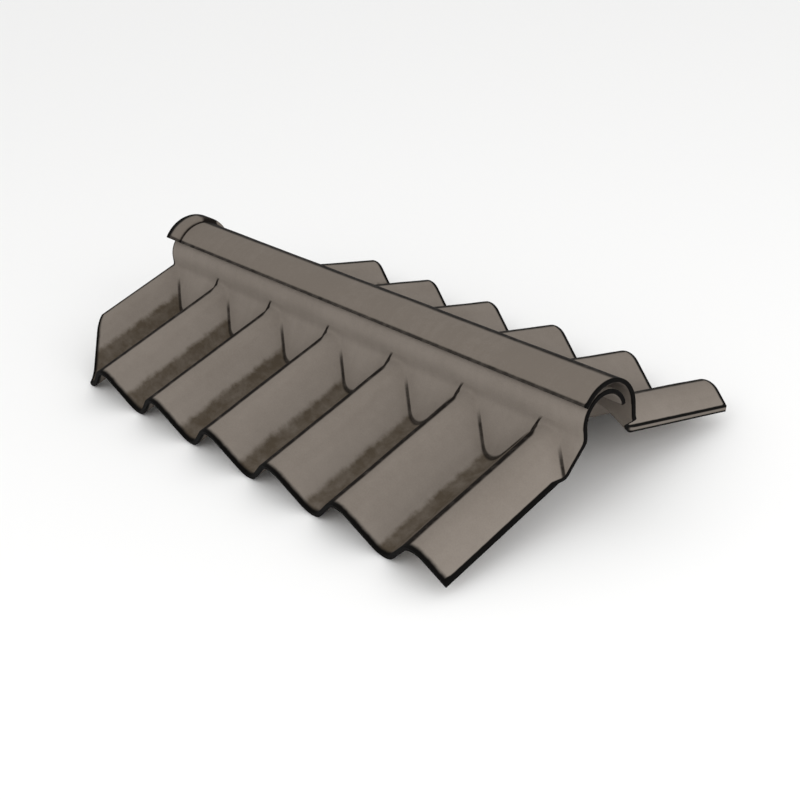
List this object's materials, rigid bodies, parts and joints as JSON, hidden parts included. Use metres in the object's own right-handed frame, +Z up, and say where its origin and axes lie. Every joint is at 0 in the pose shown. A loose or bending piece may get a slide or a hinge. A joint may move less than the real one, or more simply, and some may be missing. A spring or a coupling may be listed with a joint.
{
  "type": "two-piece corrugated roof ridge cap",
  "caption": "Ridge cap in two lapping moulded sheets, each a corrugated wing with an apron, a neck and a rounded roll, for covering the ridge of a corrugated sheet roof.",
  "frame": {"origin": "on the level that the eaves rest on, under the middle of the pair's box", "axes": "+X along the ridge towards the end that is near in the picture, -Y towards the wing of the inner piece, +Y towards the wing of the outer piece, +Z up"},
  "size_m": [0.943, 0.5636, 0.1892],
  "materials": {
    "inner_fibre_cement": "matt fibre cement, brown-grey, darker with grime in the valleys",
    "outer_fibre_cement": "matt fibre cement, brown-grey, darker with grime in the valleys"
  },
  "bodies": {
    "root": {"inner_ridge_piece": "inner_fibre_cement", "outer_ridge_piece": "outer_fibre_cement"}
  },
  "joints": []
}
